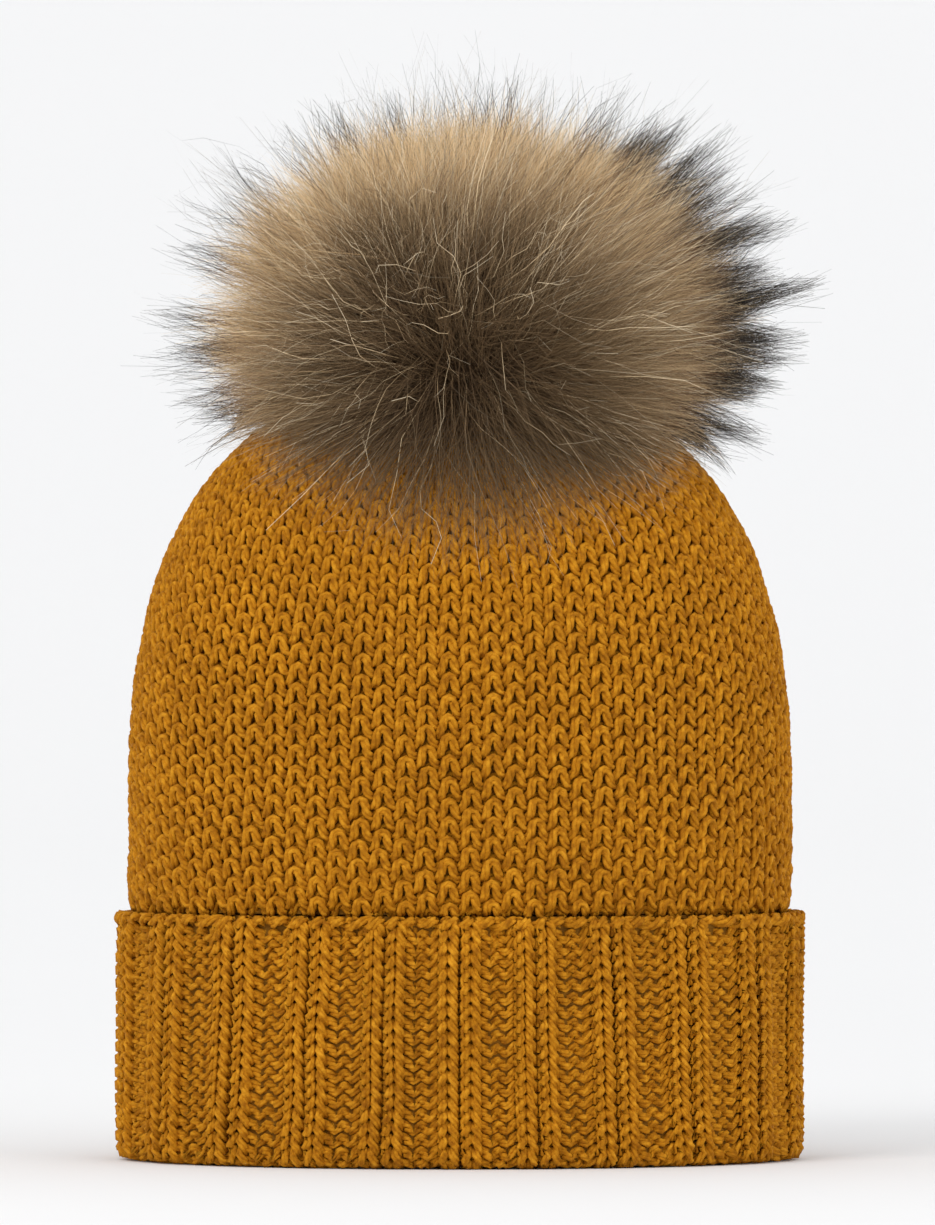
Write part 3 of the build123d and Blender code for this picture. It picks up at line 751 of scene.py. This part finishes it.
# ---- Seam, gathering yarn, label and filling -----------------------------------------------
thread_yarn = 2.2 * MM
seam_first, seam_last = (float(np.interp(z * MM, moss.z, moss.s)) for z in (112, 236))
SEAM_STITCHES = 26
climb = np.linspace(0, 1, SEAM_STITCHES * LOOP_POINTS // 2, endpoint=False)
climb = np.concatenate([climb, 1 - climb])
crossing = np.cos(math.pi * SEAM_STITCHES * climb) * np.repeat([1, -1], len(climb) // 2)
seam_s = seam_first + (seam_last - seam_first) * climb
seam_width = 2.0 * MM / (TAU * 0.88 * np.interp(seam_s, moss.s, moss.r))
seam_round = (0.5 + seam_width * crossing, seam_s, -WALL / 2 - 1.5 * MM - 0.5 * MM * np.abs(crossing))
seam_pieces = knit("seam_yarn", moss, [seam_round], mustard, thread_yarn)
join(seam_pieces, "back_seam")

gather_low, gather_high = (np.array(corner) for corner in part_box("crown_gather_yarn"))
gather_tube = (gather_high[2] - gather_low[2]) / 2
gather_pieces = []
for coil in range(2):
    turn = np.linspace(0, TAU, 96, endpoint=False)
    ring_radius = gather_high[0] - gather_tube * (0.72 + 0.56 * coil) + 0.25 * MM * np.sin(5 * turn + coil)
    ring_z = (gather_low[2] + gather_high[2]) / 2 + (0.5 - coil) * 0.7 * MM + 0.2 * MM * np.sin(3 * turn)
    path = np.stack([ring_radius * np.cos(turn), ring_radius * np.sin(turn), ring_z], axis=1)
    rings = twist_yarn(path, np.tile((0.0, 0.0, 1.0), (96, 1)), 5, gather_tube * 1.15)
    gather_pieces.append(make_mesh(f"gather_yarn_{coil}", rings, *yarn_faces(5, 96, 12)))
    gather_pieces[-1].data.materials.append(mustard)
join(gather_pieces, "crown_gather_yarn", body="crown_tip")


def grid_sheet(name, width, length, thickness, shape, columns=24, rows=34):
    """A closed thin cloth tab; shape gives the points of its middle for positions across and down."""
    across, down = np.meshgrid(np.linspace(-0.5, 0.5, columns + 1), np.linspace(0, 1, rows + 1))
    middle = shape(across * width, down * length)
    way_across, way_down = np.gradient(middle, axis=1), np.gradient(middle, axis=0)
    normal = unit(np.cross(way_across, way_down))
    points = np.concatenate([(middle + normal * thickness / 2).reshape(-1, 3),
                             (middle - normal * thickness / 2).reshape(-1, 3)])
    i, j = np.meshgrid(np.arange(columns), np.arange(rows))
    a = (j * (columns + 1) + i).ravel()
    front = np.stack([a, a + 1, a + columns + 2, a + columns + 1], axis=1)
    other = (columns + 1) * (rows + 1)
    rim = np.concatenate([np.arange(columns), columns + (columns + 1) * np.arange(rows),
                          (columns + 1) * rows + np.arange(columns, 0, -1), (columns + 1) * np.arange(rows, 0, -1)])
    after = np.roll(rim, -1)
    quads = np.concatenate([front, front[:, ::-1] + other, np.stack([after, rim, rim + other, after + other], axis=1)])
    flat = np.stack([across.ravel() + 0.5, down.ravel()], axis=1)
    uvs = np.concatenate([flat, flat])[quads]
    return make_mesh(name, points, quads, uvs)


label_low, label_high = (np.array(corner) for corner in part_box("care_label"))
LABEL_WIDTH, LABEL_LENGTH = label_high[0] - label_low[0], label_high[2] - label_low[2]


def label_shape(across, down):
    """Hangs from its sewn top edge; the free end lifts a little and curls at its corners."""
    free = np.clip(down / LABEL_LENGTH - 0.2, 0, 1)
    lift = 1.6 * MM * free**2 + 0.5 * MM * free * (2 * across / LABEL_WIDTH) ** 2
    return np.stack([across, (label_low[1] + label_high[1]) / 2 - lift, label_high[2] - down], axis=-1)


label = grid_sheet("care_label_tab", LABEL_WIDTH, LABEL_LENGTH, 0.35 * MM, label_shape)
join([label], "care_label", body="hat")


def make_filling(around_count=96, up_count=64):
    """Pressed fibre filling, a little smaller than the skin round it, with shallow tufted lumps."""
    low, high = (np.array(corner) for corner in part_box("pom_stuffing"))
    centre, half = (low + high) / 2, (high - low) / 2 - 0.3 * MM
    turn = np.linspace(0, TAU, around_count, endpoint=False)
    up = np.linspace(-math.pi / 2 + 0.34, math.pi / 2 - 0.03, up_count)
    turns, ups = np.meshgrid(turn, up)
    ways = np.stack([np.cos(ups) * np.cos(turns), np.cos(ups) * np.sin(turns), np.sin(ups)], axis=-1).reshape(-1, 3)
    lumps = 1 - 0.012 * (2.2 + swirl(ways, 9, (6, 11, 19))[:, 0])
    points = centre + ways * half * lumps[:, None]
    ends = len(points) + np.array([0, 1])
    points = np.concatenate([points, centre + np.outer([math.sin(up[0]), 0.985], [0, 0, half[2]])])
    ring = np.arange(around_count)
    after, top = np.roll(ring, -1), (up_count - 1) * around_count
    faces = ring_grid(around_count, up_count)[0].tolist()
    faces += np.stack([after, ring, np.full(around_count, ends[0])], axis=1).tolist()
    faces += np.stack([ring + top, after + top, np.full(around_count, ends[1])], axis=1).tolist()
    mesh = bpy.data.meshes.new("pressed_filling")
    mesh.from_pydata(points.tolist(), [], faces)
    mesh.polygons.foreach_set("use_smooth", np.full(len(mesh.polygons), True))
    thing = bpy.data.objects.new("pressed_filling", mesh)
    bpy.context.collection.objects.link(thing)
    return thing


filling = make_filling()
join([filling], "pom_stuffing", body="pom")

# ---- Materials of the fastening, the skin, the patch, the threads and the label ------------


def surface_material(name, dark, light, scale, rough, bump, metal=0.0, specular=0.5, sheen=0.0, stretch=(1, 1, 1),
                     kind="noise"):
    """Colour, roughness and bump from one pattern in object space; scale is in features per metre."""
    n = Nodes(name)
    place = n.add("ShaderNodeTexCoord").outputs["Object"]
    place = n.add("ShaderNodeMapping", {"Vector": place, "Scale": stretch}).outputs["Vector"]
    cloud = n.add("ShaderNodeTexNoise", {"Vector": place, "Scale": scale * 0.18, "Detail": 3.0}).outputs["Fac"]
    if kind == "cells":
        fine = n.add("ShaderNodeTexVoronoi", {"Vector": place, "Scale": scale}).outputs["Distance"]
    elif kind == "weave":
        one, two = (n.add("ShaderNodeTexWave", {"Vector": place, "Scale": scale, "Distortion": 0.3},
                          bands_direction=way).outputs["Fac"] for way in ("X", "Z"))
        fine = n.add("ShaderNodeMath", {0: one, 1: two}, operation="MULTIPLY").outputs[0]
    else:
        fine = n.add("ShaderNodeTexNoise", {"Vector": place, "Scale": scale, "Detail": 5.0}).outputs["Fac"]
    colour = n.mix(cloud, (*dark, 1), (*light, 1))
    grain = n.ramp(fine, [(0.25, (0.78, 0.78, 0.78)), (0.75, (1.12, 1.12, 1.12))])
    n.set(n.shader, "Base Color", n.mix(1.0, colour, grain, "MULTIPLY"))
    roughness = n.add("ShaderNodeMapRange", {"Value": fine, "To Min": rough[0], "To Max": rough[1]})
    n.set(n.shader, "Roughness", roughness.outputs["Result"])
    height = n.add("ShaderNodeBump", {"Height": fine, "Strength": 0.6, "Distance": bump})
    n.set(n.shader, "Normal", height.outputs["Normal"])
    n.set(n.shader, "Metallic", metal)
    n.set(n.shader, "Specular IOR Level", specular)
    n.set(n.shader, "Sheen Weight", sheen)
    return n.material


steel = surface_material("nickel_plate", (0.50, 0.49, 0.47), (0.70, 0.69, 0.66), 2600, (0.20, 0.38), 0.00002,
                         metal=1.0, stretch=(1, 1, 6))
spring_steel = surface_material("spring_wire", (0.42, 0.42, 0.43), (0.58, 0.58, 0.59), 3200, (0.25, 0.42), 0.00002,
                                metal=1.0)
plastic = surface_material("moulded_nylon", (0.60, 0.58, 0.52), (0.72, 0.70, 0.64), 1500, (0.38, 0.55), 0.00004)
leather = surface_material("tanned_skin", (0.46, 0.38, 0.28), (0.62, 0.53, 0.41), 900, (0.70, 0.92), 0.00025,
                           specular=0.25, sheen=0.2, kind="cells")
felt = surface_material("pressed_felt", (0.20, 0.085, 0.008), (0.33, 0.15, 0.016), 1900, (0.85, 1.0), 0.0003,
                        specular=0.1, sheen=0.4)
patch_thread = surface_material("mustard_thread", (0.34, 0.14, 0.006), (0.50, 0.22, 0.012), 3000, (0.55, 0.8),
                                0.0001, specular=0.3, sheen=0.2, stretch=(1, 1, 3))
label_thread = surface_material("white_thread", (0.66, 0.64, 0.58), (0.80, 0.78, 0.73), 3000, (0.45, 0.7), 0.0001,
                                specular=0.3, sheen=0.2, stretch=(3, 1, 1))
pelt_thread = surface_material("waxed_thread", (0.05, 0.035, 0.022), (0.10, 0.07, 0.045), 2600, (0.4, 0.65), 0.0001,
                               specular=0.35, stretch=(1, 1, 3))
satin = surface_material("label_satin", (0.70, 0.66, 0.58), (0.82, 0.79, 0.72), 1500, (0.32, 0.5), 0.00006,
                         specular=0.45, sheen=0.25, kind="weave")
fibre = surface_material("fibre_fill", (0.70, 0.69, 0.66), (0.86, 0.85, 0.83), 1100, (0.85, 1.0), 0.0006,
                         specular=0.1, sheen=0.5)
label.data.materials.append(satin)
filling.data.materials.append(fibre)
for node, material in (
        ("snap_post", steel), ("snap_stud", steel), ("snap_socket", steel), ("socket_washer", steel),
        ("snap_ring_spring", spring_steel), ("pom_base_disc", plastic), ("pom_pelt", leather),
        ("crown_patch", felt), ("patch_stitches", patch_thread), ("label_stitches", label_thread),
        ("pom_gather_thread", pelt_thread)):
    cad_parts[node].data.materials.clear()
    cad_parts[node].data.materials.append(material)

# ---- Floor and light ---------------------------------------------------------------------
# The floor's colour by its distance back is painted shade against the lamps' light: darker towards the front, paler
# far back, so that lit it gives an even pale picture with no line where it turns up.
FLOOR_PAINTED_SHADE = ((0.0, 0.785), (0.1, 0.830), (0.243, 0.880), (0.443, 0.940), (0.671, 0.970), (1.0, 0.980))
sweep = np.linspace(0, math.pi / 2, 24)
profile = np.concatenate([[(-30, 0)], np.stack([6 + 5 * np.sin(sweep), 5 - 5 * np.cos(sweep)], axis=1), [(11, 25)]])
corners = [(x, y, z - 0.0002) for y, z in profile for x in (-30, 30)]
floor = make_mesh("floor", corners, [(2 * i, 2 * i + 1, 2 * i + 3, 2 * i + 2) for i in range(len(profile) - 1)])
floor_nodes = Nodes("floor")
floor_place = floor_nodes.add("ShaderNodeTexCoord").outputs["Object"]
floor_depth = floor_nodes.add("ShaderNodeSeparateXYZ", {"Vector": floor_place}).outputs["Y"]
floor_far = floor_nodes.add("ShaderNodeMapRange", {"Value": floor_depth, "From Min": -1.0, "From Max": 6.0})
floor_nodes.set(floor_nodes.shader, "Base Color", floor_nodes.ramp(floor_far.outputs["Result"], [
    (place, (shade, shade, shade)) for place, shade in FLOOR_PAINTED_SHADE]))
floor_nodes.set(floor_nodes.shader, "Roughness", 0.9)
floor.data.materials.append(floor_nodes.material)
add_world(0.97)
add_area_light("key", (-1.4, -2.2, 2.0), (0, 0, 0.15), 1.4, 31)
add_area_light("fill", (1.6, -1.8, 0.9), (0, 0, 0.15), 1.6, 10)
bpy.context.scene.view_settings.view_transform = "Standard"
